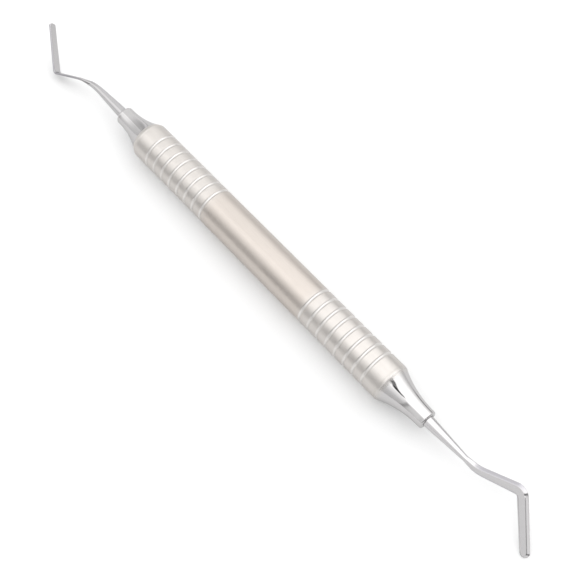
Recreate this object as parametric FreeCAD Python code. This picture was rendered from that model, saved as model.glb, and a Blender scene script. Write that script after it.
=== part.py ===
import FreeCAD, Part
import math
import os
from collections import namedtuple
from FreeCAD import Rotation, Vector

# A double-ended dental filling instrument, lying on a table. A hollow turned handle carries a
# nose at each end, and each nose holds a forged working end: one blade is bent edgewise to the
# side, the other is bent flatwise. All sizes are in millimetres and all angles in degrees.
# X runs along the handle towards the side-bent blade, Z is up and the table is at Z = 0.

# Handle tube
handle_diameter = 10.0
tube_wall = 1.0
tube_length = 86.8
smooth_grip_length = 35.6
grooves_per_end = 8
groove_pitch = 3.0
groove_width = 0.85
groove_depth = 0.22

# Noses, one at each end of the tube
side_nose_length = 12.5
flat_nose_length = 11.2
shoulder_length = 0.6
collar_diameter = 4.9
collar_length = 0.9
shoulder_round = 1.2
collar_round = 0.45
mouth_chamfer = 0.15
spigot_length = 6.0
spigot_chamfer = 0.5
spigot_clearance = 0.02

# Shanks and tangs, the same on both working ends
tang_length = 14.0
tang_chamfer = 0.3
shank_diameter = 2.9
wire_diameter = 1.45
braze_gap = 0.03

# Side-bent working end: the blade's flats lie in the plane of the bends
side_shank_length = 14.7
side_neck_angle = 22.0
side_neck_radius = 11.0
side_neck_length = 11.1
side_elbow_angle = 70.0
side_elbow_radius = 2.0
side_blade_length = 14.45
side_flat_start = 11.4
side_flat_full = 14.0
side_neck_width = 1.9
side_neck_thickness = 1.2
side_elbow_width = 2.55
side_elbow_thickness = 1.0
side_blade_end_width = 2.3
side_blade_end_thickness = 0.9

# Flat-bent working end: the blade's flats lie across the plane of the bends
flat_shank_length = 14.5
flat_neck_angle = 26.5
flat_neck_radius = 20.0
flat_neck_length = 12.1
flat_elbow_angle = 71.5
flat_elbow_radius = 1.0
flat_blade_length = 13.2
flat_flat_start = 13.8
flat_flat_full = 16.5
flat_neck_width = 1.95
flat_neck_thickness = 0.6
flat_elbow_width = 2.4
flat_elbow_thickness = 0.52
flat_blade_end_width = 2.2
flat_blade_end_thickness = 0.5

# The long edges of both blades are rounded nearly to a full half circle
edge_round_ratio = 0.9
# Part of a turn that each short edge takes in a round section, so that round and flat
# sections have the same eight edges and can be lofted into each other
short_edge_angle = 10.0

handle_radius = handle_diameter / 2
bore_radius = handle_radius - tube_wall
side_collar_end = tube_length / 2 + side_nose_length
flat_collar_end = tube_length / 2 + flat_nose_length

WorkingEnd = namedtuple(
    "WorkingEnd",
    "sideways line wire_end shank_end flat_start flat_full elbow_start elbow_end cap_centre "
    "elbow_angle elbow_radius neck elbow blade_end",
)
Section = namedtuple("Section", "width thickness")


def revolved(outline):
    """Solid turned about the X axis from a closed outline of edges."""
    return Part.Face(Part.Wire(outline)).revolve(Vector(), Vector(1, 0, 0), 360)


def lines_through(points):
    """Straight edges from each point to the next."""
    return [Part.LineSegment(a, b).toShape() for a, b in zip(points, points[1:])]


def arc_through(a, b, c):
    return Part.Arc(a, b, c).toShape()


def circle_edges(solid, x, radius):
    """Edges of the solid that are circles about the X axis at the given place and radius."""
    return [
        edge
        for edge in solid.Edges
        if isinstance(edge.Curve, Part.Circle)
        and abs(edge.Curve.Radius - radius) < 1e-4
        and abs(edge.Curve.Center.x - x) < 1e-4
    ]


def groove_places():
    """Middle of every groove along the tube, from one end to the other."""
    first = smooth_grip_length / 2 + groove_width / 2
    one_end = [first + groove_pitch * i for i in range(grooves_per_end)]
    return [-x for x in reversed(one_end)] + one_end


def handle_tube():
    """Tube with round-bottomed grooves turned into its outside at both ends."""
    half = tube_length / 2
    edges = []
    last = Vector(-half, handle_radius, 0)
    for x in groove_places():
        near = Vector(x - groove_width / 2, handle_radius, 0)
        floor = Vector(x, handle_radius - groove_depth, 0)
        far = Vector(x + groove_width / 2, handle_radius, 0)
        edges += lines_through([last, near])
        edges.append(arc_through(near, floor, far))
        last = far
    inside = [Vector(half, bore_radius, 0), Vector(-half, bore_radius, 0)]
    edges += lines_through([last, Vector(half, handle_radius, 0)] + inside + [edges[0].Vertexes[0].Point])
    return revolved(edges)


def nose(length):
    """Turned nose on X, its seat against the tube at X = 0 and its spigot behind that. Its flare
    is an arc that narrows from the handle's size and runs out along the collar."""
    collar_radius = collar_diameter / 2
    spigot_radius = bore_radius - spigot_clearance
    socket_radius = shank_diameter / 2 + braze_gap
    flare_end = length - collar_length
    flare_length = flare_end - shoulder_length
    drop = handle_radius - collar_radius
    flare_radius = (flare_length**2 + drop**2) / (2 * drop)
    half_way = flare_end - flare_length / 2
    half_way_radius = collar_radius + flare_radius - math.sqrt(flare_radius**2 - flare_length**2 / 4)
    floor = length - tang_length
    edges = lines_through(
        [
            Vector(floor, 0, 0),
            Vector(-spigot_length, 0, 0),
            Vector(-spigot_length, spigot_radius - spigot_chamfer, 0),
            Vector(-spigot_length + spigot_chamfer, spigot_radius, 0),
            Vector(0, spigot_radius, 0),
            Vector(0, handle_radius, 0),
            Vector(shoulder_length, handle_radius, 0),
        ]
    )
    middle = Vector(half_way, half_way_radius, 0)
    edges.append(arc_through(edges[-1].Vertexes[-1].Point, middle, Vector(flare_end, collar_radius, 0)))
    edges += lines_through(
        [
            Vector(flare_end, collar_radius, 0),
            Vector(length, collar_radius, 0),
            Vector(length, socket_radius, 0),
            Vector(floor, socket_radius, 0),
            Vector(floor, 0, 0),
        ]
    )
    solid = revolved(edges)
    solid = solid.makeFillet(shoulder_round, circle_edges(solid, shoulder_length, handle_radius))
    solid = solid.makeFillet(collar_round, circle_edges(solid, length, collar_radius))
    return solid.makeChamfer(mouth_chamfer, circle_edges(solid, length, socket_radius))


class BentLine:
    """Centre line of a working end in the XY plane: straight, a bend to +Y, the neck, a bend
    back across the axis and the blade. It starts on the nose's end face."""

    def __init__(self, shank, neck_angle, neck_radius, neck, elbow_angle, elbow_radius, blade):
        neck_turn = math.radians(neck_angle)
        elbow_turn = math.radians(elbow_angle)
        neck_tangent = neck_radius * math.tan(neck_turn / 2)
        elbow_tangent = elbow_radius * math.tan(elbow_turn / 2)
        self.stretches = [
            (shank - neck_tangent, 0.0),
            (neck_radius * neck_turn, neck_turn),
            (neck - neck_tangent - elbow_tangent, 0.0),
            (elbow_radius * elbow_turn, -elbow_turn),
            (blade - elbow_tangent, 0.0),
        ]

    def length(self, stretches=5):
        """Length of the first few stretches."""
        return sum(length for length, _ in self.stretches[:stretches])

    def at(self, distance):
        """Point and heading, a distance along the line."""
        x, y, heading = 0.0, 0.0, 0.0
        for length, turn in self.stretches:
            part = min(distance, length)
            if turn:
                radius = length / turn
                onward = heading + part / radius
                x += radius * (math.sin(onward) - math.sin(heading))
                y += radius * (math.cos(heading) - math.cos(onward))
                heading = onward
            else:
                x += part * math.cos(heading)
                y += part * math.sin(heading)
            distance -= part
            if distance <= 0:
                break
        return Vector(x, y, 0), heading


def working_end(sideways, line, flat_start, flat_full, elbow_angle, elbow_radius, neck, elbow, blade_end):
    """Gathers a working end's places along its centre line and its sections."""
    shank_end = min(flat_start, line.length(1))
    cap_centre = line.length() - blade_end.width / 2
    return WorkingEnd(
        sideways, line, wire_diameter / 2, shank_end, flat_start, flat_full, line.length(3),
        line.length(4), cap_centre, elbow_angle, elbow_radius, neck, elbow, blade_end,
    )


def cross_frame(end, distance):
    """Point on the centre line, and the directions of the section's width and thickness."""
    point, heading = end.line.at(distance)
    in_plane = Vector(-math.sin(heading), math.cos(heading), 0)
    if end.sideways:
        return point, in_plane, Vector(0, 0, 1)
    return point, Vector(0, 0, -1), in_plane


def wire_radius(end, distance):
    """Radius of the round shank, which tapers evenly from the nose to where it is flattened."""
    share = distance / end.flat_start
    return shank_diameter / 2 + (end.wire_end - shank_diameter / 2) * share


def round_section(end, distance):
    """Circle across the centre line, drawn as eight arcs."""
    point, wide, thick = cross_frame(end, distance)
    radius = wire_radius(end, distance)

    def rim(angle):
        turn = math.radians(angle)
        return point + wide * (radius * math.cos(turn)) + thick * (radius * math.sin(turn))

    edges = []
    half_flat = short_edge_angle / 2
    for quarter in (0, 90, 180, 270):
        edges.append(arc_through(rim(quarter + half_flat), rim(quarter + 45), rim(quarter + 90 - half_flat)))
        edges.append(arc_through(rim(quarter + 90 - half_flat), rim(quarter + 90), rim(quarter + 90 + half_flat)))
    return Part.Wire(edges)


def corner_arc(point, wide, thick, section, quarter):
    """Rounded corner of a flat section, in the given quarter of a turn."""
    corner = section.thickness / 2 * edge_round_ratio
    middle = math.radians(quarter + 45)
    reach = (section.width / 2 - corner) * math.copysign(1, math.cos(middle))
    rise = (section.thickness / 2 - corner) * math.copysign(1, math.sin(middle))
    centre = point + wide * reach + thick * rise
    turns = [math.radians(quarter + step) for step in (0, 45, 90)]
    return arc_through(*[centre + wide * (corner * math.cos(a)) + thick * (corner * math.sin(a)) for a in turns])


def flat_section(end, distance, section):
    """Flat bar's section across the centre line: four rounded corners and four straight edges."""
    point, wide, thick = cross_frame(end, distance)
    corners = [corner_arc(point, wide, thick, section, quarter) for quarter in (0, 90, 180, 270)]
    edges = []
    for corner, following in zip(corners, corners[1:] + corners[:1]):
        edges += [corner] + lines_through([corner.Vertexes[-1].Point, following.Vertexes[0].Point])
    return Part.Wire(edges)


def blend(first, last, share):
    """Section part of the way from one to another."""
    return Section(*[a + (b - a) * share for a, b in zip(first, last)])


def spread(first, last, count):
    """Evenly spaced places from the first to the last."""
    return [first + (last - first) * i / (count - 1) for i in range(count)]


def shank_and_tang(end):
    """Round tang that fills the nose's socket, and the straight part of the tapered shank."""
    tang_radius = shank_diameter / 2
    outline = [
        Vector(-tang_length, 0, 0),
        Vector(-tang_length, tang_radius - tang_chamfer, 0),
        Vector(-tang_length + tang_chamfer, tang_radius, 0),
        Vector(0, tang_radius, 0),
        Vector(end.shank_end, wire_radius(end, end.shank_end), 0),
        Vector(end.shank_end, 0, 0),
        Vector(-tang_length, 0, 0),
    ]
    return revolved(lines_through(outline))


def neck(end):
    """The bent wire, pressed from round to flat and widening as it nears the elbow."""
    solids = []
    if end.flat_start > end.shank_end + 0.01:
        bent_wire = [round_section(end, d) for d in spread(end.shank_end, end.flat_start, 4)]
        solids.append(Part.makeLoft(bent_wire, True, False))
    pressed = [round_section(end, end.flat_start), flat_section(end, end.flat_full, end.neck)]
    solids.append(Part.makeLoft(pressed, True, True))
    widening = [
        flat_section(end, d, blend(end.neck, end.elbow, (d - end.flat_full) / (end.elbow_start - end.flat_full)))
        for d in spread(end.flat_full, end.elbow_start, 6)
    ]
    solids.append(Part.makeLoft(widening, True, False))
    return solids


def elbow(end):
    """Tight bend between neck and blade, of one section all the way."""
    point, heading = end.line.at(end.elbow_start)
    centre = point + Vector(math.sin(heading), -math.cos(heading), 0) * end.elbow_radius
    face = Part.Face(flat_section(end, end.elbow_start, end.elbow))
    return face.revolve(centre, Vector(0, 0, -1), end.elbow_angle)


def blade(end):
    """Flat blade, tapering a little, with an end rounded to the blade's own width."""
    sections = [flat_section(end, end.elbow_end, end.elbow), flat_section(end, end.cap_centre, end.blade_end)]
    point, wide, thick = cross_frame(end, end.cap_centre)
    side = end.blade_end
    edge_start = point + thick * (side.thickness / 2)
    edge_end = point - thick * (side.thickness / 2)
    upper = corner_arc(point, wide, thick, side, 0)
    lower = corner_arc(point, wide, thick, side, 270)
    edges = [lower] + lines_through([lower.Vertexes[-1].Point, upper.Vertexes[0].Point]) + [upper]
    edges += lines_through([upper.Vertexes[-1].Point, edge_start, edge_end, lower.Vertexes[0].Point])
    half_face = Part.Face(Part.Wire(edges))
    return [Part.makeLoft(sections, True, True), half_face.revolve(point, thick * -1, 180)]


def tip(end):
    """A whole working end, forged in one piece: tang, shank, neck, elbow and blade."""
    solids = neck(end) + [elbow(end)] + blade(end)
    return shank_and_tang(end).multiFuse(solids).removeSplitter()


def resting_roll(end):
    """Angle that the bend plane is rolled up from the table when the round handle lies on the
    table and the end of the side-bent blade touches it too."""
    corner = end.blade_end.thickness / 2 * edge_round_ratio
    centre, _ = end.line.at(end.cap_centre)
    across = end.blade_end.width / 2 - corner - centre.y
    through = end.blade_end.thickness / 2 - corner
    lean = math.degrees(math.atan2(through, across))
    return math.degrees(math.asin((handle_radius - corner) / math.hypot(across, through))) - lean


def side_bent():
    line = BentLine(
        side_shank_length, side_neck_angle, side_neck_radius, side_neck_length,
        side_elbow_angle, side_elbow_radius, side_blade_length,
    )
    return working_end(
        True, line, side_flat_start, side_flat_full, side_elbow_angle, side_elbow_radius,
        Section(side_neck_width, side_neck_thickness),
        Section(side_elbow_width, side_elbow_thickness),
        Section(side_blade_end_width, side_blade_end_thickness),
    )


def flat_bent():
    line = BentLine(
        flat_shank_length, flat_neck_angle, flat_neck_radius, flat_neck_length,
        flat_elbow_angle, flat_elbow_radius, flat_blade_length,
    )
    return working_end(
        False, line, flat_flat_start, flat_flat_full, flat_elbow_angle, flat_elbow_radius,
        Section(flat_neck_width, flat_neck_thickness),
        Section(flat_elbow_width, flat_elbow_thickness),
        Section(flat_blade_end_width, flat_blade_end_thickness),
    )


def set_at(solid, x, turned=False):
    """Copy of a piece moved out along X, or turned half round to the other end of the handle."""
    placed = solid.copy()
    placed.translate(Vector(x, 0, 0))
    if turned:
        placed.rotate(Vector(), Vector(0, 0, 1), 180)
    return placed


def pieces():
    """Every piece in place on the handle's axis, with the bends in the XY plane."""
    side_end = side_bent()
    flat_end = flat_bent()
    parts = {
        "handle_tube": handle_tube(),
        "side_nose": set_at(nose(side_nose_length), tube_length / 2),
        "flat_nose": set_at(nose(flat_nose_length), tube_length / 2, turned=True),
        "side_bent_tip": set_at(tip(side_end), side_collar_end),
        "flat_bent_tip": set_at(tip(flat_end), flat_collar_end, turned=True),
    }
    return parts, resting_roll(side_end)


def lie_down(parts, roll):
    """Rolls the instrument to its rest and moves the middle of its outline over the origin."""
    for solid in parts.values():
        solid.rotate(Vector(), Vector(1, 0, 0), roll)
    box = Part.makeCompound(list(parts.values())).optimalBoundingBox(False, False)
    shift = Vector(-box.Center.x, -box.Center.y, handle_radius)
    for solid in parts.values():
        solid.translate(shift)
    return shift


os.makedirs("parts", exist_ok=True)
parts, roll = pieces()
shift = lie_down(parts, roll)
for name, solid in parts.items():
    solid.exportStep("parts/" + name + ".step")
print("roll %.3f, handle's middle at %.4f %.4f %.4f" % (roll, shift.x, shift.y, shift.z))
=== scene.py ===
import bmesh
import bpy
import numpy as np
from mathutils import Matrix


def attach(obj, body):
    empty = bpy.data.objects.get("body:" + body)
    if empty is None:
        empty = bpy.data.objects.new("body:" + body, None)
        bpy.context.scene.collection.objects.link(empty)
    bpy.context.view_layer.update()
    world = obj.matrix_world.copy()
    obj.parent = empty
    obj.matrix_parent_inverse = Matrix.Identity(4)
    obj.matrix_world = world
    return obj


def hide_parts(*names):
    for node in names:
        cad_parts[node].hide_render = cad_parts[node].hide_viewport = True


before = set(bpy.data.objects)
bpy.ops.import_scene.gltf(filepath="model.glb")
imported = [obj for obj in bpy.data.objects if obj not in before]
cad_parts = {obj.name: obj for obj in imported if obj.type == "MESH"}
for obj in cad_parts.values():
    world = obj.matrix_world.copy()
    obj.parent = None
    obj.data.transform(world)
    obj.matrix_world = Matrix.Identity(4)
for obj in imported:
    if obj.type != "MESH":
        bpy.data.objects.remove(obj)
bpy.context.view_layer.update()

# Table and camera. The instrument lies on a white table, and the camera looks down on it from its
# side-bent end, at the angle and distance of the photograph. Lengths are in millimetres throughout.
MM = 0.001
MERGE_WITHIN = 1e-5
HANDLE_MIDDLE = np.array([-0.7975, 0.0123, 5.0])
CAMERA_FROM_MIDDLE = np.array([103.50, -82.08, 231.47])
CAMERA_RIGHT = np.array([0.65820, 0.75284, 0.0])
CAMERA_DOWN = np.array([0.66537, -0.58173, -0.46783])
TABLE_HALF = 1500.0
TABLE_GRAIN = (2.0, 2.0, 1.0)
TABLE_DARK = (0.71, 0.71, 0.71, 1)
TABLE_PALE = (0.735, 0.735, 0.735, 1)
# painted shade: the grey the table's colour fades to far from the middle
TABLE_FAR_SHADE = (0.4, 0.4, 0.4, 1)
TABLE_SHADE_FADE = (105, 260)
TABLE_GLOW = 0.14

camera = bpy.data.objects.new("camera", bpy.data.cameras.new("camera"))
camera.data.sensor_width = 36.0
camera.data.lens = 69.41
camera.data.clip_start = 10 * MM
camera_up = -CAMERA_DOWN
camera_axes = np.column_stack([CAMERA_RIGHT, camera_up, np.cross(CAMERA_RIGHT, camera_up)])
camera_place = Matrix.Translation((HANDLE_MIDDLE + CAMERA_FROM_MIDDLE) * MM)
camera.matrix_world = camera_place @ Matrix(camera_axes.tolist()).to_4x4()
bpy.context.scene.collection.objects.link(camera)
bpy.context.scene.camera = camera


def grid_mesh(name, points, around=True, ends=False):
    """Mesh over a grid of points in millimetres, rows along the piece and columns around it. Columns
    close on themselves if around is set, rows if ends is. Points that fall together are merged, so
    a row that is all one point makes a closed pole."""
    rows, columns = points.shape[:2]
    row = np.arange(rows if ends else rows - 1)
    column = np.arange(columns if around else columns - 1)
    i, j = np.meshgrid(row, column, indexing="ij")
    here, below = i * columns, (i + 1) % rows * columns
    beside = (j + 1) % columns
    corners = np.stack([here + j, here + beside, below + beside, below + j], -1)
    mesh = bpy.data.meshes.new(name)
    mesh.from_pydata((points.reshape(-1, 3) * MM).tolist(), [], corners.reshape(-1, 4).tolist())
    shell = bmesh.new()
    shell.from_mesh(mesh)
    bmesh.ops.remove_doubles(shell, verts=shell.verts, dist=MERGE_WITHIN * MM)
    shell.to_mesh(mesh)
    shell.free()
    mesh.shade_smooth()
    piece = bpy.data.objects.new(name, mesh)
    bpy.context.scene.collection.objects.link(piece)
    return piece


class Nodes:
    """Node tree of a finish or of the light. Its add method makes any node: its settings are set
    first, then the values or links of its sockets."""

    def __init__(self, tree):
        self.tree = tree
        tree.nodes.clear()

    def add(self, kind, settings=None, sockets=None):
        node = self.tree.nodes.new(kind)
        for key, value in (settings or {}).items():
            setattr(node, key, value)
        for key, value in (sockets or {}).items():
            if isinstance(value, Value):
                self.tree.links.new(value.socket, node.inputs[key])
            else:
                node.inputs[key].default_value = value
        return node

    def get(self, node, output=0):
        return Value(self, node.outputs[output])


class Value:
    """A number or colour that changes over a surface. Operators on it add Math nodes."""

    def __init__(self, nodes, socket):
        self.nodes = nodes
        self.socket = socket

    def math(self, operation, *numbers):
        sockets = dict(enumerate(numbers))
        return self.nodes.get(self.nodes.add("ShaderNodeMath", {"operation": operation}, sockets))

    def __add__(self, other):
        return self.math("ADD", self, other)

    def __radd__(self, other):
        return self.math("ADD", other, self)

    def __sub__(self, other):
        return self.math("SUBTRACT", self, other)

    def __rsub__(self, other):
        return self.math("SUBTRACT", other, self)

    def __mul__(self, other):
        return self.math("MULTIPLY", self, other)

    def __rmul__(self, other):
        return self.math("MULTIPLY", other, self)

    def __abs__(self):
        return self.math("ABSOLUTE", self)

    def root(self):
        return self.math("SQRT", self)

    def clamped(self):
        """Held between 0 and 1."""
        return self.nodes.get(self.nodes.add("ShaderNodeClamp", None, {"Value": self}))

    def step(self, low, high):
        """0 below low, 1 above high, and a soft rise between. High may be the lower of the two."""
        settings = {"interpolation_type": "SMOOTHSTEP"}
        sockets = {"Value": self, "From Min": low, "From Max": high}
        return self.nodes.get(self.nodes.add("ShaderNodeMapRange", settings, sockets))


def new_finish(name):
    """An empty material and its nodes."""
    material = bpy.data.materials.new(name)
    material.use_nodes = True
    return material, Nodes(material.node_tree)


def mix_colours(nodes, share, first, second):
    """Colour between two, by a share of the second."""
    mixed = nodes.add("ShaderNodeMix", {"data_type": "RGBA"}, {0: share, 6: first, 7: second})
    return nodes.get(mixed, 2)


def object_place(nodes):
    """Place on the piece as three numbers, in millimetres."""
    place = nodes.get(nodes.add("ShaderNodeTexCoord"), "Object")
    scaled = nodes.add("ShaderNodeVectorMath", {"operation": "SCALE"}, {0: place, "Scale": 1 / MM})
    parts = nodes.add("ShaderNodeSeparateXYZ", None, {0: nodes.get(scaled)})
    return [nodes.get(parts, axis) for axis in "XYZ"]


def noise(nodes, place, per_mm, detail, roughness=0.5):
    """Soft noise from 0 to 1 over a place, with its own fineness along each axis."""
    stretched = {axis: part * fine for axis, part, fine in zip("XYZ", place, per_mm)}
    vector = nodes.get(nodes.add("ShaderNodeCombineXYZ", None, stretched))
    sockets = {"Vector": vector, "Scale": 1.0, "Detail": detail, "Roughness": roughness}
    return nodes.get(nodes.add("ShaderNodeTexNoise", None, sockets))


def paper_white():
    """White paper with a faint grain and a faint glow of its own, greyed far from the middle by
    painted shade.
    """
    material, nodes = new_finish("paper_white")
    x, y, z = object_place(nodes)
    grain = noise(nodes, (x, y, z), TABLE_GRAIN, 3.0)
    near = mix_colours(nodes, grain, TABLE_DARK, TABLE_PALE)
    # painted shade: the table's colour greys with distance from the middle, for light that falls off
    # there
    away = (x * x + y * y).root().step(*TABLE_SHADE_FADE)
    sockets = {"Base Color": mix_colours(nodes, away, near, TABLE_FAR_SHADE), "Roughness": 0.8}
    sockets.update({"Emission Color": (1, 1, 1, 1), "Emission Strength": TABLE_GLOW})
    shader = nodes.add("ShaderNodeBsdfPrincipled", None, sockets)
    nodes.add("ShaderNodeOutputMaterial", None, {"Surface": nodes.get(shader)})
    return material


table_edge = np.linspace(-TABLE_HALF, TABLE_HALF, 3)
table_x, table_y = np.meshgrid(table_edge, table_edge)
table = grid_mesh("table", np.stack([table_x, table_y, 0 * table_x], -1), around=False)
table.data.materials.append(paper_white())


# Light. A white tent over the table gives all the light, worked out for each direction from two
# numbers: x, which is 1 straight towards the side-bent end and -1 towards the flat-bent one, and
# turn, the angle about the handle: 0 at the table's far side, 90 overhead, 180 at the camera's.
WHITE = (1, 1, 1, 1)
BACKDROP_LIGHT = 0.716
ARM_DARKNESS = 0.84
# start, way and reach of each bar of the arm that carries the camera: a long shape with a hooked end
ARM_BARS = (
    ((0.33, -0.35, 0.88), (0.10, 0.05, -0.03), 0.12),
    ((0.43, -0.30, 0.85), (0.12, 0.33, -0.02), 0.10),
    ((0.575, 0.06, 0.81), (0.015, -0.26, -0.03), 0.045),
)


def roof_light(x, turn):
    """Roof: brightest over the side-bent end, with a brighter strip along its near side."""
    towards_side_end = x.step(-0.5, -0.21)
    by_flat_end = x.step(-0.42, -0.55) * turn.step(92, 108)
    strip = turn.step(97, 102) * turn.step(112, 106) * x.step(-0.15, -0.3)
    return 1.2 + 0.85 * towards_side_end + 0.35 * by_flat_end + 0.25 * strip


def far_wall_light(x, turn):
    """Wall beyond the table: brighter by the flat-bent end, with a dark hem and one greyer panel."""
    by_flat_end = x.step(-0.35, -0.55)
    hem = turn.step(12, 5) * x.step(-0.4, -0.25) * x.step(0.12, -0.02)
    panel = x.step(-0.37, -0.3) * x.step(-0.17, -0.22)
    return 0.92 * (1 + 0.3 * by_flat_end) * (1 - 0.75 * hem) * (1 - 0.14 * panel)


def near_wall_light(x, turn):
    """Wall at the camera's side: greyer towards either end and low down, and bright again high up
    by the side-bent end."""
    towards_side_end = x.step(-0.04, 0.2)
    towards_flat_end = x.step(-0.12, -0.2)
    low = turn.step(154, 168) * x.step(-0.15, 0.0)
    high = turn.step(156, 126) * x.step(0.1, 0.25)
    wall = 1.13 - 0.19 * towards_side_end - 0.1 * towards_flat_end
    return wall * (1 - 0.12 * low) + 0.5 * high


def left_by_openings(x, turn):
    """Share of the light that is left where the tent has its front opening, a seam, a darker wall
    at the flat-bent end, and its side opening with a pale flap overhead."""
    front_opening = x.step(-0.6, -0.42) * x.step(-0.18, -0.28) * turn.step(141, 156)
    seam = abs(x - 0.13).step(0.05, 0.02) * turn.step(124, 134)
    upper = turn.step(8, 28) * turn.step(160, 140)
    patch = turn.step(15, 25) * turn.step(62, 50)
    end_wall = x.step(-0.66, -0.96) * (0.1 + 0.26 * upper + 0.08 * patch)
    flap = x.step(0.64, 0.69) * turn.step(84, 92) * turn.step(122, 114)
    side_opening = x.step(0.58, 0.62) * (1 - 0.48 * flap)
    left = (1 - 0.85 * front_opening) * (1 - 0.4 * seam)
    return left * (1 - end_wall) * (1 - 0.75 * side_opening)


def left_by_bar(place, start, way, reach):
    """Share of the light that is left by one bar of the arm, which is dark where the direction is
    within reach of the bar's nearest point. That point lies at a share of the bar's way, which is
    the dot product of past and way over way's squared length, held between the bar's two ends."""
    past = [part - at for part, at in zip(place, start)]
    dot = past[0] * way[0] + past[1] * way[1] + past[2] * way[2]
    share = (dot * (1 / sum(part * part for part in way))).clamped()
    off = [part - share * along for part, along in zip(past, way)]
    away = (off[0] * off[0] + off[1] * off[1] + off[2] * off[2]).root()
    return 1 - ARM_DARKNESS * away.step(reach, 0.6 * reach)


def tent_light():
    """Far wall, roof and near wall, one going over into the next, less what shades them. The camera
    itself sees a plain backdrop past the table's edge."""
    world = bpy.data.worlds.new("tent")
    world.use_nodes = True
    nodes = Nodes(world.node_tree)
    direction = nodes.get(nodes.add("ShaderNodeTexCoord"), "Generated")
    parts = nodes.add("ShaderNodeSeparateXYZ", None, {0: direction})
    x, y, z = [nodes.get(parts, axis) for axis in "XYZ"]
    turn = z.math("ARCTAN2", z, y) * (180 / np.pi)
    side_end, flat_end = x.step(0.1, 0.25), x.step(-0.48, -0.6)
    middle = x.step(-0.52, -0.45) * x.step(-0.22, -0.32)
    roof_full = 52 + 10 * x.step(-0.2, -0.35)
    wall_begins = 118 - 20 * middle - 6 * side_end + 16 * flat_end
    wall_full = 132 + 16 * middle - 4 * side_end + 32 * flat_end
    bright = far_wall_light(x, turn)
    bright = bright + (roof_light(x, turn) - bright) * turn.step(5, roof_full)
    bright = bright + (near_wall_light(x, turn) - bright) * turn.step(wall_begins, wall_full)
    bright = bright * left_by_openings(x, turn)
    for start, way, reach in ARM_BARS:
        bright = bright * left_by_bar((x, y, z), start, way, reach)
    light = nodes.get(nodes.add("ShaderNodeBackground", None, {"Color": WHITE, "Strength": bright}))
    backdrop = nodes.add("ShaderNodeBackground", None, {"Color": WHITE, "Strength": BACKDROP_LIGHT})
    seen = nodes.get(nodes.add("ShaderNodeLightPath"), "Is Camera Ray")
    shown = nodes.add("ShaderNodeMixShader", None, {0: seen, 1: light, 2: nodes.get(backdrop)})
    nodes.add("ShaderNodeOutputWorld", None, {"Surface": nodes.get(shown)})
    return world


bpy.context.scene.world = tent_light()
bpy.context.scene.view_settings.view_transform = "Standard"


# Handle tube. A hollow steel tube, turned and then blasted to a satin finish, with a group of
# rounded grooves at each end of a smooth middle. The grooves are cut bright.
HANDLE_RADIUS = 5.0
TUBE_HALF = 43.4
BORE_RADIUS = 4.0
EDGE_BREAK = 0.02
EDGE_HOLD = 0.06
GROOVE_COUNT = 8
GROOVE_FIRST = 18.225
GROOVE_PITCH = 3.0
GROOVE_WIDTH = 0.85
GROOVE_DEPTH = 0.22
GROOVE_LIP = 0.03
LAND_DEPTH = 0.001
GROOVE_ROWS = np.linspace(-0.47, 0.47, 19)
LIP_ROWS = np.linspace(0.5, 0.75, 4)
SMOOTH_ROWS = np.linspace(-17.2, 17.2, 9)
TURNED_SIDES = 144
GRIP_FADE = (20.6, 15.6)
CUT_FADE = (0.0, 0.12)
ENDS_DARK = (0.56, 0.532, 0.505, 1)
ENDS_PALE = (0.62, 0.59, 0.563, 1)
GRIP_DARK = (0.525, 0.48, 0.44, 1)
GRIP_PALE = (0.585, 0.535, 0.495, 1)
CUT_BRIGHT = (0.69, 0.668, 0.646, 1)
STEEL_EDGE_TINT = (0.8, 0.8, 0.8, 1)
LATHE_RINGS = (40.0, 0.15, 0.15)
LATHE_RING_HEIGHT = 0.016
STREAKS = (0.06, 3.0, 3.0)


def turned(along, radius):
    """Grid turned about the handle's axis: each profile point goes round a circle of its radius, at
    y = radius * cos(angle) and z = radius * sin(angle) from the axis."""
    angle = np.linspace(0, 2 * np.pi, TURNED_SIDES, endpoint=False)
    x = np.broadcast_to(along[:, None], (len(along), TURNED_SIDES))
    y, z = radius[:, None] * np.cos(angle), radius[:, None] * np.sin(angle)
    return np.stack([x, y, z], -1) + HANDLE_MIDDLE


def groove_depth_at(offset):
    """Depth of a groove at an offset from its middle: the arc of a circle, run on past its edges as
    straight slopes and joined to the land by a soft maximum of depth and zero."""
    half = GROOVE_WIDTH / 2
    circle = (half**2 + GROOVE_DEPTH**2) / (2 * GROOVE_DEPTH)
    inside = np.sqrt(circle**2 - np.minimum(abs(offset), half) ** 2) - (circle - GROOVE_DEPTH)
    slope = half / np.sqrt(circle**2 - half**2)
    run_on = inside - slope * np.maximum(abs(offset) - half, 0)
    return (run_on + np.sqrt(run_on**2 + GROOVE_LIP**2)) / 2


def tube_profile():
    """Places along the tube and the radius at each, closed round through the bore. The outside has
    fine rows across each groove, and two close to each end that keep the land there looking flat."""
    one_end = GROOVE_FIRST + GROOVE_PITCH * np.arange(GROOVE_COUNT)
    middles = np.concatenate([-one_end[::-1], one_end])
    across = np.concatenate([-LIP_ROWS[::-1], GROOVE_ROWS, LIP_ROWS])
    grooves = (middles[:, None] + across).ravel()
    end_rows = TUBE_HALF - np.array([EDGE_BREAK, EDGE_HOLD])
    outside = np.sort(np.concatenate([grooves, SMOOTH_ROWS, end_rows, -end_rows]))
    depth = groove_depth_at(outside[:, None] - middles).max(axis=1)
    outside_radius = HANDLE_RADIUS - np.where(depth > LAND_DEPTH, depth, 0.0)
    end_radius = HANDLE_RADIUS - EDGE_BREAK
    along = np.concatenate([[-TUBE_HALF], outside, [TUBE_HALF, TUBE_HALF, -TUBE_HALF]])
    radius = np.concatenate([[end_radius], outside_radius, [end_radius, BORE_RADIUS, BORE_RADIUS]])
    return along, radius


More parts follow.
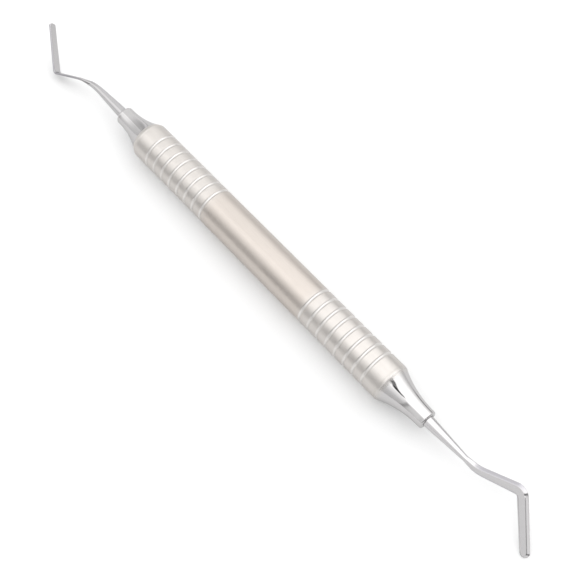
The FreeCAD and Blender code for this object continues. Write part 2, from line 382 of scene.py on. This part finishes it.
def steel_surface(nodes, colour, roughness, height=None):
    """Bare metal of this colour and roughness, with a shallow bump where a height is given."""
    sockets = {"Base Color": colour, "Roughness": roughness, "Metallic": 1.0}
    sockets["Specular Tint"] = STEEL_EDGE_TINT
    if height is not None:
        bump = {"Strength": 1.0, "Distance": LATHE_RING_HEIGHT * MM, "Height": height}
        sockets["Normal"] = nodes.get(nodes.add("ShaderNodeBump", None, bump))
    shader = nodes.add("ShaderNodeBsdfPrincipled", None, sockets)
    nodes.add("ShaderNodeOutputMaterial", None, {"Surface": nodes.get(shader)})


def satin_steel():
    """Steel with a satin finish: fine rings left by the lathe, and faint streaks drawn lengthways.
    The smooth grip between the grooves is warmer and a little darker than the grooved ends, and
    the grooves themselves are cut bright."""
    material, nodes = new_finish("satin_steel")
    x, y, z = object_place(nodes)
    from_axis_y, from_axis_z = y - HANDLE_MIDDLE[1], z - HANDLE_MIDDLE[2]
    depth = HANDLE_RADIUS - (from_axis_y * from_axis_y + from_axis_z * from_axis_z).root()
    cut = depth.step(*CUT_FADE)
    grip = abs(x - HANDLE_MIDDLE[0]).step(*GRIP_FADE)
    rings = noise(nodes, (x, y, z), LATHE_RINGS, 1.0)
    streaks = noise(nodes, (x, y, z), STREAKS, 3.0, 0.6)
    ends = mix_colours(nodes, streaks, ENDS_DARK, ENDS_PALE)
    smooth = mix_colours(nodes, streaks, GRIP_DARK, GRIP_PALE)
    colour = mix_colours(nodes, cut, mix_colours(nodes, grip, ends, smooth), CUT_BRIGHT)
    roughness = (0.30 - 0.03 * grip + 0.06 * streaks) * (1 + 0.1 * cut)
    steel_surface(nodes, colour, roughness, rings * (1 - 0.8 * cut))
    return material


handle_tube = grid_mesh("satin_handle_tube", turned(*tube_profile()), ends=True)
handle_tube.data.materials.append(satin_steel())
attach(handle_tube, "root")
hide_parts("handle_tube")


# Noses. Each is turned from solid bar, flares in from the tube's size to a small collar, and is
# polished bright but for a satin ring at its seat. Its spigot is pressed into the tube, and its
# socket takes a working end.
SIDE_NOSE_LENGTH = 12.5
FLAT_NOSE_LENGTH = 11.2
SHOULDER_LENGTH = 0.6
SHOULDER_ROUND = 1.2
COLLAR_RADIUS = 2.45
COLLAR_LENGTH = 0.9
COLLAR_ROUND = 0.45
MOUTH_CHAMFER = 0.15
SPIGOT_LENGTH = 6.0
SPIGOT_RADIUS = 3.98
SPIGOT_CHAMFER = 0.5
SOCKET_RADIUS = 1.48
TANG_LENGTH = 14.0
SHOULDER_ROWS = np.linspace(EDGE_BREAK, 3.0, 60)
FLARE_ROWS_FROM = 3.1
FLARE_ROW_COUNT = 60
COLLAR_ROUND_ROWS = 12
NOSE_SATIN_DARK = (0.57, 0.543, 0.517)
NOSE_SATIN_PALE = (0.61, 0.583, 0.557)
MIRROR_DARK = (0.51, 0.50, 0.50, 1)
MIRROR_PALE = (0.55, 0.54, 0.54, 1)
MIRROR_ROUGHNESS = 0.06
NOSE_WEAR = (0.8, 0.8, 0.8)


def flare_radius_at(along, length):
    """Radius along a nose, from its seat: straight, then an arc that runs out along the collar. The
    corner at the shoulder is rounded by an arc that touches both."""
    flare_end = length - COLLAR_LENGTH
    run = flare_end - SHOULDER_LENGTH
    drop = HANDLE_RADIUS - COLLAR_RADIUS
    big = (run**2 + drop**2) / (2 * drop)
    on_arc = COLLAR_RADIUS + big - np.sqrt(big**2 - np.clip(flare_end - along, 0, run) ** 2)
    centre_y = HANDLE_RADIUS - SHOULDER_ROUND
    reach = np.sqrt((big + SHOULDER_ROUND) ** 2 - (COLLAR_RADIUS + big - centre_y) ** 2)
    centre_x = flare_end - reach
    touch = centre_x + SHOULDER_ROUND * reach / (big + SHOULDER_ROUND)
    rounding = centre_y + np.sqrt(np.maximum(SHOULDER_ROUND**2 - (along - centre_x) ** 2, 0))
    return np.where(along <= centre_x, HANDLE_RADIUS, np.where(along < touch, rounding, on_arc))


def nose_profile(length):
    """Places along a nose from its seat, and the radius at each: spigot, seat, flare, a quarter
    circle at the collar's end, and the socket down to its floor."""
    flare_rows = np.linspace(FLARE_ROWS_FROM, length - COLLAR_ROUND, FLARE_ROW_COUNT)
    outside = np.concatenate([SHOULDER_ROWS, flare_rows])
    end_turn = np.linspace(0, np.pi / 2, COLLAR_ROUND_ROWS)[1:]
    end_x = length - COLLAR_ROUND + COLLAR_ROUND * np.sin(end_turn)
    end_r = COLLAR_RADIUS - COLLAR_ROUND + COLLAR_ROUND * np.cos(end_turn)
    spigot_x = [-SPIGOT_LENGTH, -SPIGOT_LENGTH, -SPIGOT_LENGTH + SPIGOT_CHAMFER, 0.0]
    spigot_r = [0.0, SPIGOT_RADIUS - SPIGOT_CHAMFER, SPIGOT_RADIUS, SPIGOT_RADIUS]
    floor = length - TANG_LENGTH
    socket_x = [length, length - MOUTH_CHAMFER, floor, floor]
    socket_r = [SOCKET_RADIUS + MOUTH_CHAMFER, SOCKET_RADIUS, SOCKET_RADIUS, 0.0]
    seat_r = [HANDLE_RADIUS - EDGE_BREAK]
    outside_r = flare_radius_at(outside, length)
    along = np.concatenate([spigot_x, [0.0], outside, end_x, socket_x])
    radius = np.concatenate([spigot_r, seat_r, outside_r, end_r, socket_r])
    return along, radius


def polished_steel(name, outward, satin_until, blend, satin_roughness, satin_painted_light):
    """Steel polished bright from a place along the handle outwards, and satin before it. Outward is 1
    or -1. satin_painted_light scales the satin's colours as painted light above 1 and painted shade
    below 1, so that each nose's satin is a lit or shaded copy of one steel."""
    material, nodes = new_finish(name)
    x, y, z = object_place(nodes)
    bright = (x * outward).step(satin_until - blend, satin_until + blend)
    rings = noise(nodes, (x, y, z), LATHE_RINGS, 1.0)
    wear = noise(nodes, (x, y, z), NOSE_WEAR, 4.0, 0.6)
    # painted light and shade: the satin's colours scaled for each nose
    satin_dark = (*[part * satin_painted_light for part in NOSE_SATIN_DARK], 1)
    satin_pale = (*[part * satin_painted_light for part in NOSE_SATIN_PALE], 1)
    satin = mix_colours(nodes, wear, satin_dark, satin_pale)
    mirror = mix_colours(nodes, wear, MIRROR_DARK, MIRROR_PALE)
    colour = mix_colours(nodes, bright, satin, mirror)
    roughness = satin_roughness - bright * (satin_roughness - MIRROR_ROUGHNESS) + wear * 0.03
    steel_surface(nodes, colour, roughness, rings * (1 - bright * 0.97))
    return material


side_along, side_radius = nose_profile(SIDE_NOSE_LENGTH)
side_nose = grid_mesh("polished_side_nose", turned(TUBE_HALF + side_along, side_radius))
side_polish = polished_steel(
    "polished_steel_side",
    outward=1.0,
    satin_until=43.8,
    blend=1.0,
    satin_roughness=0.30,
    # painted shade: the side nose's satin a little darker
    satin_painted_light=0.97,
)
side_nose.data.materials.append(side_polish)
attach(side_nose, "root")
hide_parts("side_nose")

flat_along, flat_radius = nose_profile(FLAT_NOSE_LENGTH)
flat_grid = turned(-TUBE_HALF - flat_along, flat_radius)[:, ::-1]
flat_nose = grid_mesh("polished_flat_nose", flat_grid)
flat_polish = polished_steel(
    "polished_steel_flat",
    outward=-1.0,
    satin_until=45.7,
    blend=0.12,
    satin_roughness=0.40,
    # painted light: the flat nose's satin lighter
    satin_painted_light=1.06,
)
flat_nose.data.materials.append(flat_polish)
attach(flat_nose, "root")
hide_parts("flat_nose")


# Working ends. Each is forged from round wire: a tapered shank, a neck pressed flat and bent, a
# tight elbow and a flat blade with a round end. The outer edge of the side-bent one is ground off
# in two facets. The tang behind is brazed into the nose's socket.
BEND_PLANE_ROLL = np.radians(44.845)
SHANK_RADIUS = 1.45
WIRE_RADIUS = 0.725
TANG_CHAMFER = 0.3
EDGE_ROUND = 0.9
SHORT_EDGE = np.radians(10.0)
STEEP_FACET = (0.45, 0.38)
SHALLOW_FACET = (0.22, 0.127)
FACET_EDGE = 0.03
BEVEL_RUN_IN = 2.5
CORNER_POINTS = 9
WIDE_EDGE_POINTS = 8
NARROW_EDGE_POINTS = 3
LINE_STEPS = 60001
SHANK_ROWS = 40
RAMP_SHARES = np.concatenate([[0.02], np.linspace(0, 1, 14)[1:-1], [0.98]])
BAR_ROWS = 24
ELBOW_ROWS = 20
END_ROWS = 16
FACE_DARK = (0.52, 0.51, 0.515)
FACE_PALE = (0.56, 0.55, 0.555)
# painted shade: the colour of the blades' narrow sides
NARROW_SIDE_SHADE = (0.38, 0.372, 0.392)
NARROW_FROM = (69.0, 71.5)
NARROW_FADE = 2.0
TAPER_FROM = 70.0
TIP_WEAR = (1.2, 1.2, 1.2)


class BentLine:
    """Centre line of a working end: straight runs and arcs, one after another, with their turns.
    The straight runs are given to where they would meet."""

    def __init__(self, shank, neck_angle, neck_radius, neck, elbow_angle, elbow_radius, blade):
        neck_turn, elbow_turn = np.radians(neck_angle), np.radians(elbow_angle)
        neck_tangent = neck_radius * np.tan(neck_turn / 2)
        elbow_tangent = elbow_radius * np.tan(elbow_turn / 2)
        self.ends = np.cumsum([
            shank - neck_tangent,
            neck_radius * neck_turn,
            neck - neck_tangent - elbow_tangent,
            elbow_radius * elbow_turn,
            blade - elbow_tangent,
        ])
        self.stops = np.concatenate([[-TANG_LENGTH, 0.0], self.ends])
        self.headings = np.cumsum([0.0, 0.0, 0.0, neck_turn, 0.0, -elbow_turn, 0.0])

    def at(self, distance):
        """Point and heading at each distance: the headings' cosines and sines summed in fine steps."""
        fine = np.linspace(-TANG_LENGTH, self.ends[-1], LINE_STEPS)
        heading = np.interp(fine, self.stops, self.headings)
        step = fine[1] - fine[0]
        middle = (heading[1:] + heading[:-1]) / 2
        x = np.concatenate([[0], np.cumsum(np.cos(middle) * step)]) - TANG_LENGTH
        y = np.concatenate([[0], np.cumsum(np.sin(middle) * step)])
        return [np.interp(distance, fine, values) for values in (x, y, heading)]


def fill_edges(corners):
    """The four corners' points in order, with points on the straight edges between them."""
    filled = []
    counts = (WIDE_EDGE_POINTS, NARROW_EDGE_POINTS) * 2
    for corner, following, count in zip(corners, corners[1:] + corners[:1], counts):
        share = np.linspace(0, 1, count + 2)[1:-1]
        filled += [corner, corner[:, -1:] + (following[:, :1] - corner[:, -1:]) * share]
    return np.concatenate(filled, axis=1)


def bevelled_corner(width, thickness):
    """Corner of a section for each row, ground off in two flat facets, a steep one up from the side
    wall and a shallow one up to the face. Each of the three edges has a point on it and one close by
    on either side, so that the facets shade flat. A point 1 mm out on the wall and one on the face
    only give their directions."""
    half, top = width / 2, thickness / 2
    facet_x = half - STEEP_FACET[0], half - STEEP_FACET[0] - SHALLOW_FACET[0]
    facet_y = top - STEEP_FACET[1] - SHALLOW_FACET[1], top - SHALLOW_FACET[1]
    x = np.stack([half, half, facet_x[0], facet_x[1], facet_x[1] - 1.0], -1)
    y = np.stack([facet_y[0] - 1.0, facet_y[0], facet_y[1], top, top], -1)
    step_x, step_y = np.diff(x), np.diff(y)
    length = np.hypot(step_x, step_y) / FACET_EDGE
    step_x, step_y = step_x / length, step_y / length
    across = np.stack([x[:, 1:4] - step_x[:, :3], x[:, 1:4], x[:, 1:4] + step_x[:, 1:]], -1)
    through = np.stack([y[:, 1:4] - step_y[:, :3], y[:, 1:4], y[:, 1:4] + step_y[:, 1:]], -1)
    return [points.reshape(len(width), CORNER_POINTS) for points in (across, through)]


def section_points(width, thickness, outer, inner):
    """Rounded bar's section for each row, as offsets across its width and its thickness. Each
    quarter turn has a corner arc and then half of the two straight edges beside it. The two upper
    corners go over from arcs to bevels by a share from 0 to 1."""
    corner = thickness / 2 * EDGE_ROUND
    share = np.linspace(0, 1, CORNER_POINTS)
    across, through = [], []
    for quarter in range(4):
        middle = np.radians(90 * quarter + 45)
        side, top = np.sign(np.cos(middle)), np.sign(np.sin(middle))
        arc = np.radians(90 * quarter) + share * np.pi / 2
        across.append(side * (width / 2 - corner)[:, None] + corner[:, None] * np.cos(arc))
        through.append(top * (thickness / 2 - corner)[:, None] + corner[:, None] * np.sin(arc))
    bevel_across, bevel_through = bevelled_corner(width, thickness)
    outer, inner = [np.broadcast_to(value, len(width))[:, None] for value in (outer, inner)]
    across[0] = across[0] + outer * (bevel_across - across[0])
    through[0] = through[0] + outer * (bevel_through - through[0])
    across[1] = across[1] + inner * (-bevel_across[:, ::-1] - across[1])
    through[1] = through[1] + inner * (bevel_through[:, ::-1] - through[1])
    return fill_edges(across), fill_edges(through)


def round_points(radius):
    """The same points on a circle, where each straight edge is a short part of the turn."""
    share = np.linspace(0, 1, CORNER_POINTS)
    across, through = [], []
    for quarter in range(4):
        arc = np.radians(90 * quarter) + SHORT_EDGE / 2 + share * (np.pi / 2 - SHORT_EDGE)
        across.append(radius[:, None] * np.cos(arc))
        through.append(radius[:, None] * np.sin(arc))
    return fill_edges(across), fill_edges(through)


class WorkingEnd:
    """Sizes of one working end, and its surface. Neck, elbow and blade_end are each a width and a
    thickness. Sideways means that the blade's flats lie in the plane of the bends. Bevel is 1 where
    the outer edge is ground off, and end_round is 1 where the blade's end is a half circle."""

    def __init__(
        self, start, line, flat_start, flat_full, neck, elbow, blade_end, sideways, bevel, end_round
    ):
        self.start = start
        self.line = line
        self.flat_start = flat_start
        self.flat_full = flat_full
        self.neck = neck
        self.elbow = elbow
        self.blade_end = blade_end
        self.sideways = sideways
        self.bevel = bevel
        self.end_round = end_round
        self.end_centre = line.ends[4] - end_round * blade_end[0] / 2

    def placed(self, distance, across, through, forward=0.0):
        """Section offsets set on the centre line, square to its heading, then moved to the nose and
        rolled about the handle's axis. The flat-bent end is first turned half round, to the other
        end of the handle."""
        x, y, heading = [value[:, None] for value in self.line.at(distance)]
        sine, cosine = np.sin(heading), np.cos(heading)
        in_plane, out = (across, through) if self.sideways else (through, -across)
        px = self.start + x - sine * in_plane + cosine * forward
        py = y + cosine * in_plane + sine * forward
        if not self.sideways:
            px, py = -px, -py
        roll_sine, roll_cosine = np.sin(BEND_PLANE_ROLL), np.cos(BEND_PLANE_ROLL)
        rolled_y = py * roll_cosine - out * roll_sine
        rolled_z = py * roll_sine + out * roll_cosine
        return np.stack([px, rolled_y, rolled_z], -1) + HANDLE_MIDDLE

    def wire(self):
        """Tang and shank: circles, from a pole at the tang's end, on a straight taper from the nose
        to where the wire begins to be flat."""
        tang = np.array([-TANG_LENGTH, -TANG_LENGTH, -TANG_LENGTH + TANG_CHAMFER])
        tang_radius = np.array([0.0, SHANK_RADIUS - TANG_CHAMFER, SHANK_RADIUS])
        shank = np.linspace(0, self.flat_start, SHANK_ROWS)
        shank_radius = SHANK_RADIUS + (WIRE_RADIUS - SHANK_RADIUS) * shank / self.flat_start
        across, through = round_points(np.concatenate([tang_radius, shank_radius]))
        return self.placed(np.concatenate([tang, shank]), across, through)

    def bar(self):
        """Neck, elbow and blade: flat sections, whose width and thickness change evenly from the
        neck to the elbow and from there to the blade's end. The inner edge's bevel runs in before
        the end."""
        elbow_start, elbow_end = self.line.ends[2], self.line.ends[3]
        neck_places = np.linspace(self.flat_full, elbow_start, BAR_ROWS)
        elbow_places = np.linspace(elbow_start, elbow_end, ELBOW_ROWS)[1:]
        blade_places = np.linspace(elbow_end, self.end_centre, BAR_ROWS)[1:]
        places = np.concatenate([neck_places, elbow_places, blade_places])
        stops = [self.flat_full, elbow_start, elbow_end, self.end_centre]
        sizes = np.array([self.neck, self.elbow, self.elbow, self.blade_end])
        width, thickness = [np.interp(places, stops, size) for size in sizes.T]
        inner = self.bevel * np.clip((places - self.end_centre) / BEVEL_RUN_IN + 1, 0, 1)
        return self.placed(places, *section_points(width, thickness, self.bevel, inner))

    def round_end(self):
        """Blade's end: its last section goes a quarter turn forward about the blade's middle, as
        across * cos(turn) sideways and end_round * |across| * sin(turn) forward."""
        turn = np.linspace(0, np.pi / 2, END_ROWS + 1)[1:, None]
        width, thickness = [np.full(END_ROWS, size) for size in self.blade_end]
        across, through = section_points(width, thickness, self.bevel, self.bevel)
        forward = self.end_round * abs(across) * np.sin(turn)
        place = np.full(END_ROWS, self.end_centre)
        return self.placed(place, across * np.cos(turn), through, forward)

    def surface(self):
        """Wire, bar and round end, with a ramp between the first two, over which each point goes
        straight from the last circle to the first flat section."""
        wire, bar = self.wire(), self.bar()
        ramp = wire[-1:] + (bar[:1] - wire[-1:]) * RAMP_SHARES[:, None, None]
        return np.concatenate([wire, ramp, bar, self.round_end()])


def tip_steel(name, light, narrow_edge, narrow_taper, narrow_until, narrow_shade_light):
    """Forged and polished steel, a little duller and greyer than the noses. The narrow sides of the
    flat part are darker and less bright, up to a place along the handle: this is painted shade. They
    lie where the distance from the bend's plane, plus a taper along the handle, passes over a soft
    edge. The two lights scale the colours as painted light and shade: light scales the faces' colours,
    so that the flat-bent tip is a shaded copy of the side-bent one, and narrow_shade_light scales the
    narrow sides' painted shade."""
    material, nodes = new_finish(name)
    x, y, z = object_place(nodes)
    from_axis_y, from_axis_z = y - HANDLE_MIDDLE[1], z - HANDLE_MIDDLE[2]
    off_plane = from_axis_z * np.cos(BEND_PLANE_ROLL) - from_axis_y * np.sin(BEND_PLANE_ROLL)
    along = abs(x - HANDLE_MIDDLE[0])
    # painted shade on the narrow sides of the flat part, faded out along the handle
    narrow = (abs(off_plane) + narrow_taper * (along - TAPER_FROM)).step(*narrow_edge)
    narrow = narrow * along.step(*NARROW_FROM) * along.step(narrow_until + NARROW_FADE, narrow_until)
    wear = noise(nodes, (x, y, z), TIP_WEAR, 4.0, 0.6)
    # painted light and shade: light scales each tip's face colours
    face_dark = (*[part * light for part in FACE_DARK], 1)
    face_pale = (*[part * light for part in FACE_PALE], 1)
    narrow_shade_colour = (*[part * narrow_shade_light for part in NARROW_SIDE_SHADE], 1)
    face = mix_colours(nodes, wear, face_dark, face_pale)
    colour = mix_colours(nodes, narrow, face, narrow_shade_colour)
    steel_surface(nodes, colour, 0.12 + 0.06 * wear + 0.16 * narrow)
    return material


side_line = BentLine(
    shank=14.7,
    neck_angle=22.0,
    neck_radius=11.0,
    neck=11.1,
    elbow_angle=70.0,
    elbow_radius=2.0,
    blade=14.45,
)
side_end = WorkingEnd(
    start=TUBE_HALF + SIDE_NOSE_LENGTH,
    line=side_line,
    flat_start=11.4,
    flat_full=14.0,
    neck=(1.9, 1.2),
    elbow=(2.55, 1.0),
    blade_end=(2.3, 0.9),
    sideways=True,
    bevel=1.0,
    end_round=1.0,
)
side_steel = tip_steel(
    "tip_steel_side",
    light=1.0,
    narrow_edge=(0.59, 0.55),
    narrow_taper=0.01,
    narrow_until=80.0,
    # painted shade on the side tip's narrow sides, made a little lighter
    narrow_shade_light=1.15,
)
side_tip = grid_mesh("side_bent_blade", side_end.surface())
side_tip.data.materials.append(side_steel)
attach(side_tip, "root")
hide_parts("side_bent_tip")

flat_line = BentLine(
    shank=14.5,
    neck_angle=26.5,
    neck_radius=20.0,
    neck=12.1,
    elbow_angle=71.5,
    elbow_radius=1.0,
    blade=13.16,
)
flat_end = WorkingEnd(
    start=TUBE_HALF + FLAT_NOSE_LENGTH,
    line=flat_line,
    flat_start=13.8,
    flat_full=16.5,
    neck=(1.95, 0.6),
    elbow=(2.4, 0.52),
    blade_end=(2.2, 0.5),
    sideways=False,
    bevel=0.0,
    end_round=0.6,
)
flat_steel = tip_steel(
    "tip_steel_flat",
    # painted shade: the flat-bent tip's faces darker than the side-bent tip's
    light=0.90,
    narrow_edge=(0.92, 1.04),
    narrow_taper=0.0,
    narrow_until=120.0,
    narrow_shade_light=1.0,
)
flat_tip = grid_mesh("flat_bent_blade", flat_end.surface())
flat_tip.data.materials.append(flat_steel)
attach(flat_tip, "root")
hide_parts("flat_bent_tip")
